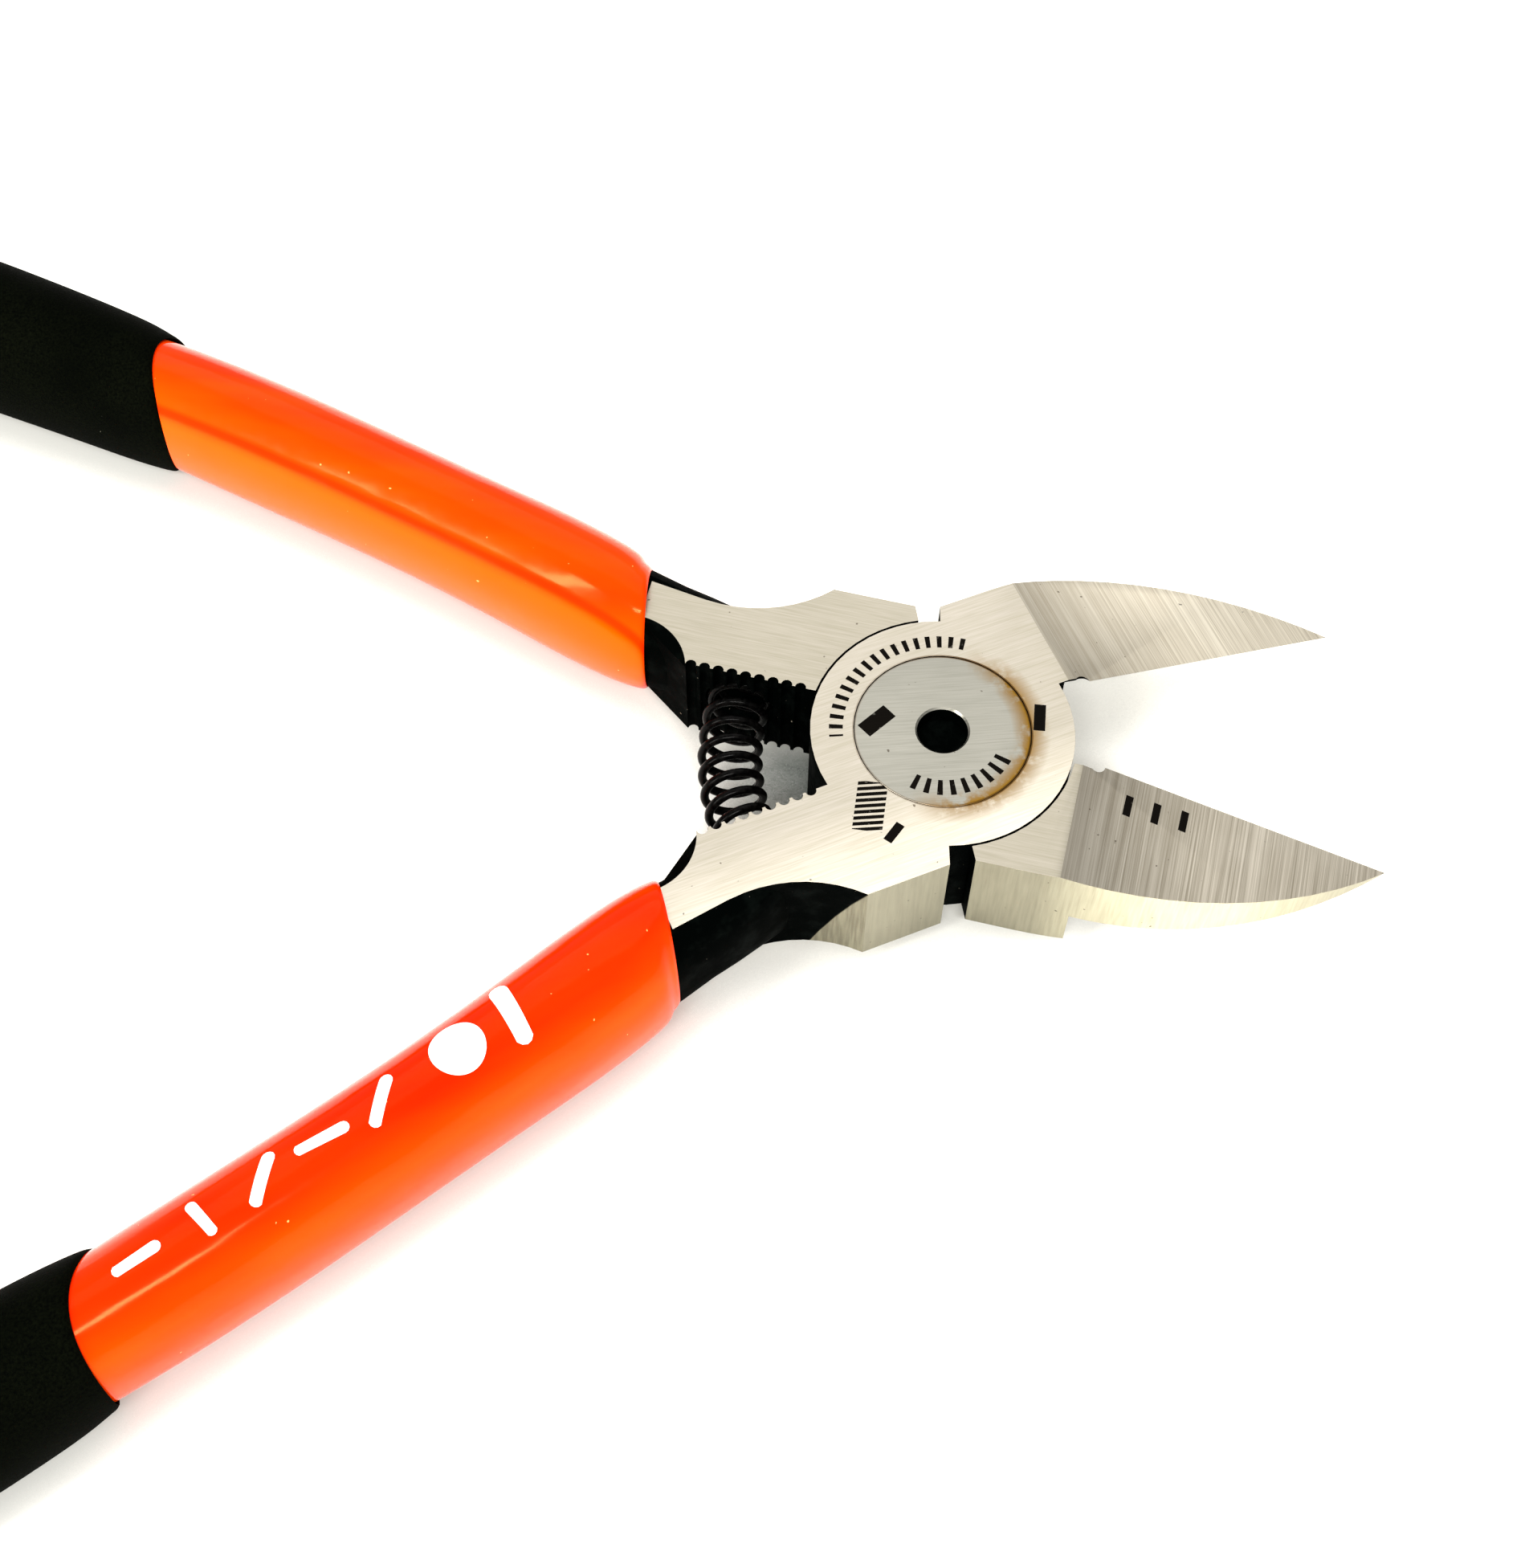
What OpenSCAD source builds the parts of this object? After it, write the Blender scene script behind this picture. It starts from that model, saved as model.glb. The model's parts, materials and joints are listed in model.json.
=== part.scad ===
// Diagonal cutting pliers with a round lap joint, one pivot rivet, a return
// spring, two dipped sleeves and two soft grips. Millimetres, +Z up.
// The pivot axis is the Z axis, the blades point along +X and the pliers lie
// open on z = 0. Each half is drawn closed, then turned to the open pose.

/* [Head] */
// Angle between the cutting edges as the pliers lie open
open_deg = 36.4; // [24:0.2:44]
// Thickness of the steel head between its ground faces
head_t = 7.9; // [6.5:0.1:9.5]
// Radius of the round lap joint
disc_r = 8.5; // [7.5:0.1:8.8]
// Distance from the pivot to the blade tips
tip_x = 29.7; // [24:0.1:36]
// Distance from the pivot to the heel of the cutting edge
heel_x = 10.6; // [10:0.1:12]
// Distance from the pivot to the line where the top grind starts
grind_x = 9.2; // [8.8:0.1:11]
// Slope of the ground top of the blades toward the tips
grind_deg = 15.9; // [10:0.1:17]
// Angle of the bevel under each cutting edge
wedge_deg = 26.5; // [22:0.5:32]
// Width of one jaw, cutting edge to outer side
jaw_w = 8.85; // [8.4:0.05:10]
// Turn left before the outer shoulders meet and stop the opening
stop_deg = 9.6; // [6:0.2:14]

/* [Shank] */
// Width from the centre line to the outer flat of a shank
shank_w = 9.1; // [8.8:0.1:10]
// Half of the slot between the closed shanks
slot_half = 0.95; // [0.7:0.05:1.5]
// Radius of the scoop behind the outer flat
scoop_r = 9.1; // [8:0.1:11]
// Number of finger-side grooves beside the spring
groove_n = 9; // [5:1:9]
// Distance between those grooves
groove_pitch = 0.92; // [0.8:0.02:1]

/* [Rivet] */
// Radius of the flush rivet heads
rivet_head_r = 5.7; // [5:0.1:6.2]
// Radius of the rivet shank
rivet_shank_r = 3.4; // [2.5:0.1:4]
// Radius of the centre hole in the rivet
rivet_hole_r = 1.65; // [1.2:0.05:2]

/* [Spring] */
// Distance from the pivot to the spring pockets
spring_x = 13.8; // [13:0.1:15]
// Outside diameter of the return spring
spring_od = 4.4; // [3.6:0.1:4.6]
// Wire diameter of the return spring
wire_d = 0.65; // [0.5:0.05:0.75]
// Number of turns in the return spring
spring_turns = 12; // [9:1:12]
// Depth of each spring pocket
pocket_depth = 3.4; // [2.8:0.1:3.6]

/* [Handles] */
// Distance from the pivot to the far end of the grips
handle_x = 120.3; // [105:0.1:140]
// Full thickness of the grips, which the head is centred in
handle_t = 11.2; // [10.4:0.1:13]
// Distance from the pivot to the front edge of the sleeves
sleeve_x = 21.2; // [20.8:0.1:23]
// Distance from the pivot to the front edge of the grips
grip_x = 60.3; // [50:0.1:70]
// How steeply the handles spread from the head
spread = 0.33; // [0.28:0.01:0.36]
// Half width of the bare tang at the sleeve mouth
tang_a = 3.2; // [2.8:0.1:3.4]

/* [Clearances] */
// Axial gap between the two lap faces
lap_clear = 0.05; // [0.02:0.01:0.1]
// Gap round the lap disc in the other half
disc_clear = 0.15; // [0.1:0.05:0.4]
// Radial gap of the rivet in the half that turns on it
pivot_clear = 0.04; // [0.02:0.01:0.08]
// Radial gap of the spring in its pockets
pocket_clear = 0.12; // [0.05:0.01:0.2]
// Gap between a tang and its sleeve, and a sleeve and its grip
sleeve_clear = 0.05; // [0.03:0.01:0.08]

/* [Hidden] */
$fn = 96;
half_deg = open_deg / 2;
mid_z = handle_t / 2;
head_z = mid_z - head_t / 2;
top_z = head_z + head_t;
over = 1;
arc_x = 7;
jaw_r = (pow(tip_x - arc_x, 2) + jaw_w * jaw_w) / (2 * jaw_w);
jaw_shoulder_deg = 66.2;
shank_shoulder_deg = jaw_shoulder_deg + open_deg + stop_deg;
relief_y = 0.4;
relief_r = 0.5;
step_x = heel_x - 0.1;
scoop_x = 16;
scoop_end = scoop_x + 1.2;
scoop_cy = 6.1 + scoop_r;
tang_edge_y = 3.85;
hollow_r = 4.15;
hollow_x = sleeve_x + 0.1;
hollow_end = hollow_x - sqrt(pow(hollow_r, 2) - pow(slot_half - tang_edge_y + hollow_r, 2));
hollow_dish = 0.45;
groove_r = 0.36;
groove_x = 9.6;
rivet_rim = 0.7;
rivet_cone = rivet_head_r - rivet_shank_r;
rivet_hole_depth = 1.6;
spring_r = spring_od / 2 - wire_d / 2;
tang_top = head_t / 2 - 0.02;
tang_end = handle_x - 8;
sleeve_end = handle_x - 3;
ring_n = 32;
squareness = 2.6;
rest_b = mid_z + 0.2;

// ---------- handle shape, drawn for the handle at +Y ----------

// Centre line of a handle, straight beside the head and bowed behind it
function handle_y(x) =
    let (u = (x - 20) / (handle_x - 20.3))
    x < 20 ? 5.25 - 0.1 * (20 - x)
           : 5.25 + spread * (handle_x - 20.3) * (u - 0.4 * u * u - 0.08 * pow(u, 4));

// The distance a fraction f of the way from a to b
function along(a, b, f) = a + f * (b - a);

// Sections along each part: distance from the pivot, half width, half height
tang_sections = [
    [12, 1.5, 3.6], [14, 2.1, 4.0], [17, tang_a - 0.5, 4.1], [19, tang_a - 0.2, 4.15],
    [sleeve_x, tang_a, 4.15], [sleeve_x + 5, tang_a - 0.1, 4.1],
    [along(sleeve_x, tang_end, 0.184), tang_a - 0.4, 3.8], [along(sleeve_x, tang_end, 0.338), tang_a - 0.7, 3.5],
    [along(sleeve_x, tang_end, 0.558), tang_a - 0.9, 3.2], [along(sleeve_x, tang_end, 0.777), tang_a - 1, 3],
    [tang_end - 4, tang_a - 1.2, 2.8], [tang_end - 1, tang_a - 1.5, 2.4], [tang_end, tang_a - 2.2, 1.5]];
tang_cavity = [for (s = tang_sections) if (s[0] >= sleeve_x) s];
sleeve_sections = [
    [sleeve_x, tang_a + 0.55, 4.75], [sleeve_x + 0.7, tang_a + 0.75, 5.0],
    [sleeve_x + 2.5, tang_a + 0.95, 5.35], [sleeve_x + 4.5, tang_a + 1, rest_b], [sleeve_x + 7.5, tang_a + 1, rest_b],
    [sleeve_x + 11, tang_a + 0.9, 5.5], [sleeve_x + 16, tang_a + 0.85, 5.4],
    [along(sleeve_x, grip_x, 0.685), tang_a + 0.85, 5.4],
    [grip_x - 4.5, tang_a + 0.85, 5.3], [grip_x + 4, tang_a + 0.6, 4.8],
    [along(grip_x, sleeve_end, 0.21), tang_a + 0.5, 4.7], [along(grip_x, sleeve_end, 0.556), tang_a + 0.4, 4.6],
    [sleeve_end - 8, tang_a + 0.1, 4.4], [sleeve_end - 3, tang_a - 0.4, 3.9],
    [sleeve_end - 0.8, tang_a - 1.3, 2.7], [sleeve_end, tang_a - 2.4, 1.2]];
grip_cavity = [for (s = sleeve_sections) if (s[0] > grip_x) s];
grip_sections = [
    [grip_x, tang_a + 1.15, mid_z - 0.3], [grip_x + 0.5, tang_a + 1.35, mid_z - 0.1],
    [grip_x + 2, tang_a + 1.5, rest_b], [along(grip_x, handle_x, 0.133), tang_a + 1.8, rest_b],
    [along(grip_x, handle_x, 0.25), tang_a + 2.1, rest_b], [along(grip_x, handle_x, 0.433), tang_a + 2.15, rest_b],
    [along(grip_x, handle_x, 0.633), tang_a + 1.9, rest_b], [along(grip_x, handle_x, 0.8), tang_a + 1.5, rest_b],
    [handle_x - 5, tang_a + 1.1, mid_z],
    [handle_x - 2, tang_a + 0.4, mid_z - 0.9], [handle_x - 0.6, tang_a - 0.7, mid_z - 2.3],
    [handle_x, tang_a - 2, mid_z - 4]];

// One ring of a section, a rounded rectangle flattened at flat above and below its middle.
// wrap pulls the sides of the ring forward, lean tips it toward the outside.
function ring(s, grow, flat, wrap = 0, lean = 0) = [
    for (i = [0 : ring_n - 1])
        let (t = 360 * i / ring_n, c = cos(t), w = sin(t),
             dy = (s[1] + grow) * sign(c) * pow(abs(c), 2 / squareness),
             dz = (s[2] + grow) * sign(w) * pow(abs(w), 2 / squareness),
             x = s[0] - wrap * c * c + lean * dy)
        [-x, handle_y(x) + dy, mid_z + max(-flat, min(flat, dz))]];

function reversed(v) = [for (i = [len(v) - 1 : -1 : 0]) v[i]];

// A closed skin over a row of rings
module skin(rings) {
    n = len(rings[0]);
    m = len(rings);
    polyhedron(
        points = [for (r = rings) for (p = r) p],
        faces = concat(
            [[for (i = [n - 1 : -1 : 0]) i]],
            [[for (i = [0 : n - 1]) (m - 1) * n + i]],
            [for (k = [0 : m - 2]) for (i = [0 : n - 1]) [k * n + i, k * n + (i + 1) % n, (k + 1) * n + i]],
            [for (k = [0 : m - 2]) for (i = [0 : n - 1])
                [k * n + (i + 1) % n, (k + 1) * n + (i + 1) % n, (k + 1) * n + i]]),
        convexity = 6);
}

// ---------- steel halves ----------

// Plan of the jaw at +Y, edge on the X axis
module jaw_plan() {
    difference() {
        intersection() {
            union() {
                translate([arc_x, jaw_w - jaw_r]) circle(r = jaw_r, $fn = 360);
                square([arc_x, jaw_w]);
            }
            polygon([[0, 0], [tip_x + over, 0], [tip_x + over, jaw_w + over],
                     [(jaw_w + over) / tan(jaw_shoulder_deg), jaw_w + over]]);
        }
        square([heel_x - relief_r, relief_y]);
        translate([heel_x - relief_r, 0]) circle(r = relief_r);
    }
}

// Cuts the flush face and the bevel into the jaw at +Y
module blade_cuts() {
    translate([grind_x, 0, top_z]) rotate([0, grind_deg, 0])
        translate([0, -over, 0]) cube([2 * tip_x, 2 * jaw_w, head_t]);
    intersection() {
        translate([grind_x, 0, top_z]) rotate([0, grind_deg, 0]) rotate([-wedge_deg, 0, 0])
            translate([-tip_x, -over, -2 * head_t]) cube([3 * tip_x, 3 * jaw_w, 2 * head_t]);
        translate([0, 0, head_z - over]) linear_extrude(head_t + over)
            polygon([[disc_r + 0.2, -over], [2 * tip_x, -over], [2 * tip_x, jaw_w + over], [step_x, jaw_w + over]]);
    }
}

// Plan of the shank at +Y, up to the sleeve mouth
module shank_plan() {
    difference() {
        polygon([[slot_half / tan(shank_shoulder_deg), slot_half], [-scoop_end - 4, slot_half],
                 [-scoop_end - 4, 6.78], [-scoop_end, 6.17], [-scoop_end, shank_w],
                 [shank_w / tan(shank_shoulder_deg), shank_w]]);
        translate([-scoop_x, scoop_cy]) circle(r = scoop_r);
    }
}

// Hollow on the inner side of a shank at +Y: straight below, dished to an arc at the top face
module hollow_cut() {
    translate([0, 0, head_z - over]) linear_extrude(head_t + over - hollow_dish) hollow_low();
    hull() {
        translate([0, 0, top_z - hollow_dish - 0.01]) linear_extrude(0.01) hollow_low();
        translate([0, 0, top_z]) linear_extrude(over) intersection() {
            translate([-hollow_x, tang_edge_y - hollow_r]) circle(r = hollow_r);
            translate([-hollow_x, -over]) square([2 * hollow_r, 2 * hollow_r]);
        }
    }
}

module hollow_low() {
    polygon([[-hollow_x, -over], [-hollow_x, tang_edge_y], [-hollow_end, slot_half], [-hollow_end, -over]]);
}

// The rivet's outline, bigger all round by c
module rivet_outline(c) {
    polygon([[0, head_z], [rivet_head_r + c, head_z], [rivet_head_r + c, head_z + rivet_rim],
             [rivet_shank_r + c, head_z + rivet_rim + rivet_cone],
             [rivet_shank_r + c, top_z - rivet_rim - rivet_cone],
             [rivet_head_r + c, top_z - rivet_rim], [rivet_head_r + c, top_z], [0, top_z]]);
}

// One half with its jaw at +Y and its handle at -Y. upper puts its lap disc on top.
module half(upper, c) {
    lap_z = upper ? mid_z + lap_clear / 2 : head_z;
    cut_z = upper ? head_z - over : mid_z - lap_clear / 2;
    difference() {
        union() {
            difference() {
                union() {
                    translate([0, 0, head_z]) linear_extrude(head_t) jaw_plan();
                    mirror([0, 1, 0]) difference() {
                        translate([0, 0, head_z]) linear_extrude(head_t) shank_plan();
                        hollow_cut();
                    }
                    mirror([0, 1, 0]) skin([for (s = tang_sections) ring(s, 0, tang_top)]);
                }
                blade_cuts();
                translate([0, 0, cut_z])
                    cylinder(r = disc_r + disc_clear, h = head_t / 2 + lap_clear / 2 + over);
            }
            translate([0, 0, lap_z]) cylinder(r = disc_r, h = (head_t - lap_clear) / 2);
        }
        rotate_extrude() rivet_outline(c);
        translate([-spring_x, -slot_half + over, mid_z]) rotate([90, 0, 0])
            cylinder(r = spring_od / 2 + pocket_clear, h = pocket_depth + over);
        for (i = [0 : groove_n - 1])
            translate([-groove_x - i * groove_pitch, -slot_half, head_z - over])
                cylinder(r = groove_r, h = head_t + 2 * over, $fn = 24);
    }
}

module front_half() {
    color("silver") rotate([0, 0, half_deg]) half(true, pivot_clear);
}

module back_half() {
    color("lightgray") rotate([0, 0, -half_deg]) mirror([0, 1, 0]) half(false, 0);
}

module pivot_rivet() {
    color("gainsboro") rotate_extrude() difference() {
        rivet_outline(0);
        translate([0, top_z - rivet_hole_depth]) square([rivet_hole_r, rivet_hole_depth + over]);
    }
}

// ---------- return spring ----------

// Bowed axis of the spring from pocket floor to pocket floor, mirrored about y = 0
mouth = [-spring_x * cos(half_deg) + slot_half * sin(half_deg), spring_x * sin(half_deg) + slot_half * cos(half_deg)];
bow_r = mouth[1] / sin(half_deg);
seat = pocket_depth - wire_d / 2 - 0.1;
bow_len = bow_r * half_deg * PI / 180;
coil_len = 2 * (bow_len + seat);

// Point and heading on that axis at distance s from its middle
function bow(s) =
    let (a = min(abs(s), bow_len) / bow_r * 180 / PI, rest = max(abs(s) - bow_len, 0), k = s < 0 ? -1 : 1)
    [[mouth[0] + bow_r * (cos(half_deg) - cos(a)) + rest * sin(a), k * (bow_r * sin(a) + rest * cos(a))],
     [k * sin(a), cos(a)]];

module return_spring() {
    steps = spring_turns * 20;
    pitch_deg = atan(coil_len / (spring_turns * 2 * PI * spring_r));
    color("dimgray") skin([for (j = [0 : steps])
        let (b = bow((j / steps - 0.5) * coil_len), f = 360 * spring_turns * j / steps,
             along = [b[1][0], b[1][1], 0], side = [b[1][1], -b[1][0], 0], up = [0, 0, 1],
             radial = side * cos(f) + up * sin(f), round = up * cos(f) - side * sin(f),
             across = along * cos(pitch_deg) - round * sin(pitch_deg))
        [for (i = [0 : 7])
            [b[0][0], b[0][1], mid_z] + radial * (spring_r + wire_d / 2 * cos(45 * i)) + across * wire_d / 2 * sin(45 * i)]]);
}

// ---------- sleeves and grips, drawn for the handle at +Y ----------

module sleeve() {
    skin(concat(
        reversed([for (s = tang_cavity) ring(s, sleeve_clear, mid_z, 0, s[0] == sleeve_x ? 0.17 : 0)]),
        [for (s = sleeve_sections) ring(s, 0, mid_z, 0, s[0] < sleeve_x + 3 ? 0.17 : 0)]));
}

module grip() {
    skin(concat(
        reversed([for (s = grip_cavity) ring(s, sleeve_clear, mid_z)]),
        [ring([grip_x, tang_a + 0.85, 5.12], sleeve_clear, mid_z, 1, 0.2)],
        [for (s = grip_sections) ring(s, 0, mid_z, s[0] < grip_x + 3 ? 1 : 0, s[0] < grip_x + 3 ? 0.2 : 0)]));
}

module front_sleeve() { color("orangered") rotate([0, 0, half_deg]) mirror([0, 1, 0]) sleeve(); }
module back_sleeve() { color("orangered") rotate([0, 0, -half_deg]) sleeve(); }
module front_grip() { color("dimgray") rotate([0, 0, half_deg]) mirror([0, 1, 0]) grip(); }
module back_grip() { color("dimgray") rotate([0, 0, -half_deg]) grip(); }

front_half();
back_half();
pivot_rivet();
return_spring();
front_sleeve();
back_sleeve();
front_grip();
back_grip();
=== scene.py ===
"""Diagonal cutting pliers, lying open: two ground steel halves on a flush rivet, a bowed
return spring, two glossy dipped sleeves and two soft black grips.

Every piece is modelled closed, with the blades along +X, and then turned with its half.
Lengths below are in millimetres and are scaled by MM where they reach Blender.
"""

import math

import bmesh
import bpy
from mathutils import Matrix, Vector
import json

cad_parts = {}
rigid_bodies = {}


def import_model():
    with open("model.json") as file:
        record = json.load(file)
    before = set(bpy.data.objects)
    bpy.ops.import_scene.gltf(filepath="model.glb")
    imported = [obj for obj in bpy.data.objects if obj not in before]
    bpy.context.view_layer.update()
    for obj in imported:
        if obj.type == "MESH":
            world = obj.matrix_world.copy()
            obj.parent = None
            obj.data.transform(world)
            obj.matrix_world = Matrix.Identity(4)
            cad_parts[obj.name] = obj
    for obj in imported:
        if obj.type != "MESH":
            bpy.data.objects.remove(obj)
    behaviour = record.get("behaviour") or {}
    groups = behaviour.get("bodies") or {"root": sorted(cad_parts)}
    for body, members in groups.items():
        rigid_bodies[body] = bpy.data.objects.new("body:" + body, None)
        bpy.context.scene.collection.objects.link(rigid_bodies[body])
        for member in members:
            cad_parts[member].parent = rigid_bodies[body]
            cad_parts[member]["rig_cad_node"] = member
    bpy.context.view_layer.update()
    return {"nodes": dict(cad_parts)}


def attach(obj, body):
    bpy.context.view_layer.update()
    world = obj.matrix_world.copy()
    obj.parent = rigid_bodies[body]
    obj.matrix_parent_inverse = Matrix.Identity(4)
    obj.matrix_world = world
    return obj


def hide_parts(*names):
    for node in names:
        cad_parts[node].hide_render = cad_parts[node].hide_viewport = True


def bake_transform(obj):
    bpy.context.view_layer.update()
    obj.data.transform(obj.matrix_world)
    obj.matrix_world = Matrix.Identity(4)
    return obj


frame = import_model()

MM = 0.001
HALF_OPEN = math.radians(18.2)  # each half is turned this far from closed
MID_Z = 5.6  # the height of the handles' middle
HEAD_BOTTOM, HEAD_TOP = 1.65, 9.55  # the ground faces
SKIN = 0.01  # how far from a ground face a facet may lie and still count as part of it
EASED_EDGE = 0.06  # the small bevel on the steel's corners
WALL_START_R = 8.75  # the lap disc ends here, and the outer walls begin
SHOULDER_REACH = 10.724  # the faces beside the slot, this near the pivot, stay black

RIVET_R = 5.7
RIVET_WAIST_R = 3.4
RIVET_CONE_TOP, RIVET_CONE_END = 0.7, 3.0  # depths of the countersink
RIVET_EASED_RIM = 0.07
HOLE_R = 1.65
HOLE_EASE = 0.12
HOLE_DEPTH = 1.3
HOLE_CONE = 0.18

SPRING_X = 13.8  # the pocket's distance from the pivot along the shank
SPRING_R = 1.875  # to the middle of the wire
WIRE_R = 0.29
WIRE_SIDES = 12
SPRING_TURNS = 12
STEPS_PER_TURN = 36
BOW_STEPS = 48
SLOT_HALF = 0.95
POCKET_DEPTH = 3.4
SEAT_GAP = 0.1
PAINTED_SHADOW_MIDDLE = (-9.8, 0.8, 0.0)  # the middle of the painted shadow in the deep gap beside the spring, on the floor

SLEEVE_MOUTH, SLEEVE_LEAN = 21.2, 9.6  # distance behind the pivot, degrees
GRIP_MOUTH, GRIP_LEAN = 60.3, 11.0
MOUTH_DEPTH = 1.0  # the rings this close to a mouth lean with it
GRIP_RIM_REACH, GRIP_HALF_WIDTH = 1.0, 4.4  # how far the rim's sides come forward
SLEEVE_SQUARE, GRIP_SQUARE = 0.62, 0.36  # 0 is an oval section, 1 a square one
LOFT_POINTS = 40
CAP_INSET = 0.35
# the handles' middle line: a straight start, then a curve that bends back in
LINE_START, LINE_LENGTH, LINE_OFFSET = 20.0, 100.0, 5.25
LINE_SPREAD, LINE_BEND, LINE_HOOK = 33.0, 0.4, 0.08
INNER_CORNER = 3.0  # the dark line on the vinyl, inward from the handle's middle line

PRINT_GRID = 0.33
PRINT_LIFT = 0.05
PRINT_THICK = 0.08
PRINT_START_Z = 12.5
PRINT_INWARD = 0.25


# ---------- working by hand ----------


def take(piece):
    """Selects just this piece and makes it the active one."""
    bpy.ops.object.select_all(action="DESELECT")
    piece.select_set(True)
    bpy.context.view_layer.objects.active = piece


def edit(piece):
    take(piece)
    bpy.ops.object.mode_set(mode="EDIT")


def leave():
    bpy.ops.object.mode_set(mode="OBJECT")


def pick_faces(piece, wanted):
    """In edit mode, selects just the faces that wanted(middle, normal) accepts."""
    bpy.ops.mesh.select_mode(type="FACE")
    mesh = bmesh.from_edit_mesh(piece.data)
    for face in mesh.faces:
        face.select_set(bool(wanted(face.calc_center_median(), face.normal)))
    bmesh.update_edit_mesh(piece.data)


def pick_points(piece, wanted):
    """In edit mode, selects just the points whose place wanted(place) accepts."""
    bpy.ops.mesh.select_mode(type="VERT")
    mesh = bmesh.from_edit_mesh(piece.data)
    for point in mesh.verts:
        point.select_set(bool(wanted(point.co)))
    mesh.select_flush(False)
    bmesh.update_edit_mesh(piece.data)


def settle(piece):
    """Puts the piece's place, turn and scale into its mesh."""
    take(piece)
    bpy.ops.object.transform_apply(location=True, rotation=True, scale=True)


def modify(piece, kind, **settings):
    """Adds a modifier, sets it and applies it."""
    take(piece)
    added = piece.modifiers.new(kind.title(), kind)
    for key, value in settings.items():
        setattr(added, key, value)
    bpy.ops.object.modifier_apply(modifier=added.name)


def clean(piece):
    """Merges doubled points and turns every face outward."""
    edit(piece)
    bpy.ops.mesh.select_all(action="SELECT")
    bpy.ops.mesh.remove_doubles(threshold=1e-6)
    bpy.ops.mesh.normals_make_consistent(inside=False)
    leave()


# ---------- finishes ----------


def put(tree, kind, sockets=None, **settings):
    """Adds a node. Settings are its own options; sockets take numbers, colours or links."""
    made = tree.nodes.new("ShaderNode" + kind)
    for key, value in settings.items():
        setattr(made, key, value)
    for key, value in (sockets or {}).items():
        if isinstance(value, bpy.types.NodeSocket):
            tree.links.new(value, made.inputs[key])
        else:
            made.inputs[key].default_value = value
    return made


def calc(tree, operation, *values):
    sockets = dict(enumerate(values))
    return put(tree, "Math", sockets, operation=operation).outputs[0]


def total(tree, a, b):
    return calc(tree, "ADD", a, b)


def less(tree, a, b):
    return calc(tree, "SUBTRACT", a, b)


def times(tree, a, b):
    return calc(tree, "MULTIPLY", a, b)


def larger(tree, a, b):
    return calc(tree, "MAXIMUM", a, b)


def within(tree, value, middle, half):
    """1 where value is no further than half from middle, else 0."""
    return calc(tree, "COMPARE", value, middle, half)


def blend_colour(tree, factor, a, b):
    return put(tree, "Mix", {0: factor, 6: a, 7: b}, data_type="RGBA").outputs[2]


def scaled(tree, colour, amount):
    return put(tree, "VectorMath", {0: colour, 3: amount}, operation="SCALE").outputs[0]


def apart(tree, where):
    """The three coordinates of a place."""
    return put(tree, "SeparateXYZ", {0: where}).outputs


def rgb(r, g, b):
    return (r, g, b, 1.0)


def ramp(tree, value, low, high, low_out=0.0, high_out=1.0):
    """Maps value from low..high to low_out..high_out, held at both ends."""
    return put(tree, "MapRange", {0: value, 1: low, 2: high, 3: low_out, 4: high_out}).outputs[0]


def noise(tree, where, scale, detail=2.0, rough=0.5):
    sockets = {"Vector": where, "Scale": scale, "Detail": detail, "Roughness": rough}
    return put(tree, "TexNoise", sockets).outputs["Fac"]


def stretched(tree, where, x, y, z):
    """The same place, with each direction scaled: a small number draws a pattern out along it."""
    return put(tree, "Mapping", {"Vector": where, "Scale": (x, y, z)}).outputs[0]


def in_millimetres(tree, turn=0.0):
    """The piece's own coordinates in millimetres, turned back to the closed position."""
    own = put(tree, "TexCoord").outputs["Object"]
    sockets = {"Vector": own, "Rotation": (0, 0, -turn), "Scale": (1000, 1000, 1000)}
    return put(tree, "Mapping", sockets).outputs[0]


def new_finish(name, turn=0.0):
    """A material, its node tree, its shader and its coordinates."""
    made = bpy.data.materials.new(name)
    made.use_nodes = True
    tree = made.node_tree
    return made, tree, tree.nodes["Principled BSDF"], in_millimetres(tree, turn)


def bump(tree, shader, height, depth, strength=1.0):
    """depth is in millimetres."""
    sockets = {"Height": height, "Distance": depth * MM, "Strength": strength}
    made = put(tree, "Bump", sockets)
    tree.links.new(made.outputs[0], shader.inputs["Normal"])


def link(tree, value, shader, socket):
    tree.links.new(value, shader.inputs[socket])


def polar(tree, where):
    """x, y, distance from the pivot and angle round it, in millimetres and radians."""
    x, y, _ = apart(tree, where)
    radius = calc(tree, "SQRT", total(tree, times(tree, x, x), times(tree, y, y)))
    return x, y, radius, calc(tree, "ARCTAN2", y, x)


def ticks(tree, radius, angle, r_mid, r_half, a_mid, a_half, count, duty):
    """A row of short radial ticks between two angles, given in degrees."""
    step = math.radians(2 * a_half) / count
    turn = calc(tree, "FRACT", calc(tree, "DIVIDE", total(tree, angle, math.tau), step))
    row = within(tree, turn, 0.5, duty / 2)
    ring = within(tree, radius, r_mid, r_half)
    arc = within(tree, angle, math.radians(a_mid), math.radians(a_half))
    return times(tree, times(tree, row, ring), arc)


def bar(tree, where, x, y, turn, length, width):
    """A solid bar centred on x, y and turned by so many degrees."""
    sockets = {"Vector": where, "Location": (x, y, 0), "Rotation": (0, 0, math.radians(turn))}
    made = put(tree, "Mapping", sockets, vector_type="TEXTURE")
    along, across, _ = apart(tree, made.outputs[0])
    return times(tree, within(tree, along, 0.0, length / 2), within(tree, across, 0.0, width / 2))


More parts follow.
